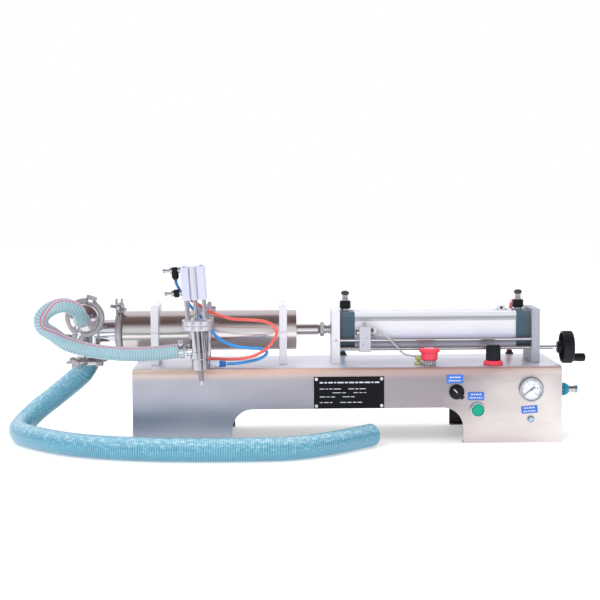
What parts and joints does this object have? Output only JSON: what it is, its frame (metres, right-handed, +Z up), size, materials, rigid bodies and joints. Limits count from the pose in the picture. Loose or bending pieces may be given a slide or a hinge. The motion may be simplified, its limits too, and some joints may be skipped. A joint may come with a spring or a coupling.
{
  "type": "pneumatic piston liquid filler",
  "caption": "Bench-top pneumatic piston filler: product cylinder and air cylinder in line on a folded stainless base, with a three-way valve, hoses, a filling nozzle and a stroke handwheel.",
  "frame": {"origin": "middle of the rigid parts' footprint, on the bench", "axes": "+X towards the handwheel end, -Y towards the operator's side with the controls and nozzle, +Z up"},
  "size_m": [1.1531, 0.4061, 0.3542],
  "materials": {
    "brushed_steel": "linear brushed stainless sheet",
    "polished_steel": "polished stainless steel",
    "cast_steel": "satin cast stainless",
    "aluminium": "satin anodised",
    "white_aluminium": "matt white anodised",
    "teal_paint": "dark teal paint, satin",
    "black_plastic": "black moulded plastic",
    "red_plastic": "red moulded plastic",
    "green_plastic": "green translucent cap",
    "grey_plastic": "grey moulded plastic",
    "white_plastic": "white fluoropolymer",
    "blue_polymer": "blue polyurethane tube",
    "red_polymer": "orange-red polyurethane tube",
    "teal_fitting": "teal anodised fitting",
    "clear_hose": "translucent pale blue hose with a steel wire",
    "grey_cable": "light grey sheath"
  },
  "bodies": {
    "base": {"base_frame": "brushed_steel", "product_cylinder": "polished_steel", "support_left_lower": "white_aluminium", "support_left_upper": "white_aluminium", "support_right_lower": "white_aluminium", "support_right_upper": "white_aluminium", "valve_body": "polished_steel", "outlet_reducer": "polished_steel", "inlet_ferrule": "polished_steel", "cylinder_clamp": "cast_steel", "outlet_clamp": "cast_steel", "inlet_clamp": "cast_steel", "plate_left": "white_aluminium", "plate_right": "white_aluminium", "air_cap_left": "teal_paint", "air_cap_right": "teal_paint", "air_barrel": "aluminium", "guide_rod": "polished_steel", "flow_control_left": "black_plastic", "flow_control_right": "black_plastic", "e_stop_base": "grey_plastic", "regulator_body": "red_plastic", "selector_body": "black_plastic", "start_bezel": "cast_steel", "gauge_case": "polished_steel", "air_inlet": "teal_fitting", "air_valve": "aluminium", "nozzle_cylinder": "aluminium", "nozzle_body": "polished_steel", "nozzle_stand": "aluminium", "product_hose": "clear_hose", "suction_hose": "clear_hose", "nozzle_tube_blue": "blue_polymer", "nozzle_tube_red": "red_polymer", "cap_tube_blue": "blue_polymer", "cap_tube_red": "red_polymer"},
    "piston": {"product_piston": "white_plastic", "product_rod": "polished_steel", "rod_coupling": "cast_steel", "air_rod": "polished_steel", "air_piston": "black_plastic"},
    "spindle": {"adjust_spindle": "polished_steel", "handwheel": "black_plastic"},
    "crank": {"crank_handle": "black_plastic"},
    "sensor": {"sensor_block": "aluminium", "reed_sensor": "cast_steel", "sensor_cable": "grey_cable"},
    "needle": {"gauge_needle": "black_plastic"},
    "inlet_valve": {"inlet_poppet": "cast_steel"},
    "outlet_valve": {"outlet_poppet": "cast_steel"},
    "nozzle_valve": {"nozzle_rod": "polished_steel"},
    "cylinder_wing_nut": {"cylinder_clamp_nut": "cast_steel"},
    "outlet_wing_nut": {"outlet_clamp_nut": "cast_steel"},
    "inlet_wing_nut": {"inlet_clamp_nut": "cast_steel"},
    "left_flow_knob": {"flow_knob_left": "black_plastic"},
    "right_flow_knob": {"flow_knob_right": "black_plastic"},
    "stop_head": {"e_stop_head": "red_plastic"},
    "pressure_knob": {"regulator_knob": "black_plastic"},
    "mode_selector": {"selector_knob": "black_plastic"},
    "start": {"start_button": "green_plastic"}
  },
  "joints": [
    {"name": "piston_stroke", "type": "slide", "parent": "base", "child": "piston", "axis": [-1, 0, 0], "range_m": [0, 0.22]},
    {"name": "handwheel_turn", "type": "hinge", "parent": "base", "child": "spindle", "pos_m": [0.48242, -0.01225, 0.1798], "axis": [1, 0, 0], "range_deg": [0, 18000]},
    {"name": "crank_spin", "type": "hinge", "parent": "spindle", "child": "crank", "pos_m": [0.51142, -0.01225, 0.1588], "axis": [1, 0, 0], "continuous": true},
    {"name": "sensor_travel", "type": "slide", "parent": "base", "child": "sensor", "axis": [1, 0, 0], "range_m": [0, 0.252]},
    {"name": "needle_swing", "type": "hinge", "parent": "base", "child": "needle", "pos_m": [0.40442, -0.08325, 0.105], "axis": [0, 1, 0], "range_deg": [0, 250], "stiffness_Nm_per_rad": 0.0005},
    {"name": "inlet_valve_lift", "type": "slide", "parent": "base", "child": "inlet_valve", "axis": [0, 0, 1], "range_m": [0, 0.01], "stiffness_N_per_m": 200},
    {"name": "outlet_valve_lift", "type": "slide", "parent": "base", "child": "outlet_valve", "axis": [0, -1, 0], "range_m": [0, 0.01], "stiffness_N_per_m": 200},
    {"name": "nozzle_lift", "type": "slide", "parent": "base", "child": "nozzle_valve", "axis": [-0.0663, 0, 0.9978], "range_m": [0, 0.012], "stiffness_N_per_m": 400},
    {"name": "cylinder_nut_turn", "type": "hinge", "parent": "base", "child": "cylinder_wing_nut", "pos_m": [-0.40758, 0.01375, 0.264], "axis": [0, 1, 0], "continuous": true},
    {"name": "outlet_nut_turn", "type": "hinge", "parent": "base", "child": "outlet_wing_nut", "pos_m": [-0.48834, -0.01975, 0.20096], "axis": [0.9397, 0, -0.3419], "continuous": true},
    {"name": "inlet_nut_turn", "type": "hinge", "parent": "base", "child": "inlet_wing_nut", "pos_m": [-0.48958, -0.01725, 0.1575], "axis": [1, 0, 0], "continuous": true},
    {"name": "left_flow_turn", "type": "hinge", "parent": "base", "child": "left_flow_knob", "pos_m": [0.04641, 0.03175, 0.286], "axis": [0, 0, 1], "range_deg": [0, 1800]},
    {"name": "right_flow_turn", "type": "hinge", "parent": "base", "child": "right_flow_knob", "pos_m": [0.39642, 0.03175, 0.286], "axis": [0, 0, 1], "range_deg": [0, 1800]},
    {"name": "stop_push", "type": "slide", "parent": "base", "child": "stop_head", "axis": [0, 0, -1], "range_m": [0, 0.004]},
    {"name": "pressure_turn", "type": "hinge", "parent": "base", "child": "pressure_knob", "pos_m": [0.33442, -0.04825, 0.175], "axis": [0, 0, 1], "range_deg": [0, 2880]},
    {"name": "mode_turn", "type": "hinge", "parent": "base", "child": "mode_selector", "pos_m": [0.25842, -0.08825, 0.101], "axis": [0, 1, 0], "range_deg": [0, 90]},
    {"name": "start_push", "type": "slide", "parent": "base", "child": "start", "axis": [0, 1, 0], "range_m": [0, 0.004], "stiffness_N_per_m": 300}
  ],
  "couplings": [
    {"joint": "sensor_travel", "follows": "handwheel_turn", "m_per_rad": 0.0007958}
  ]
}
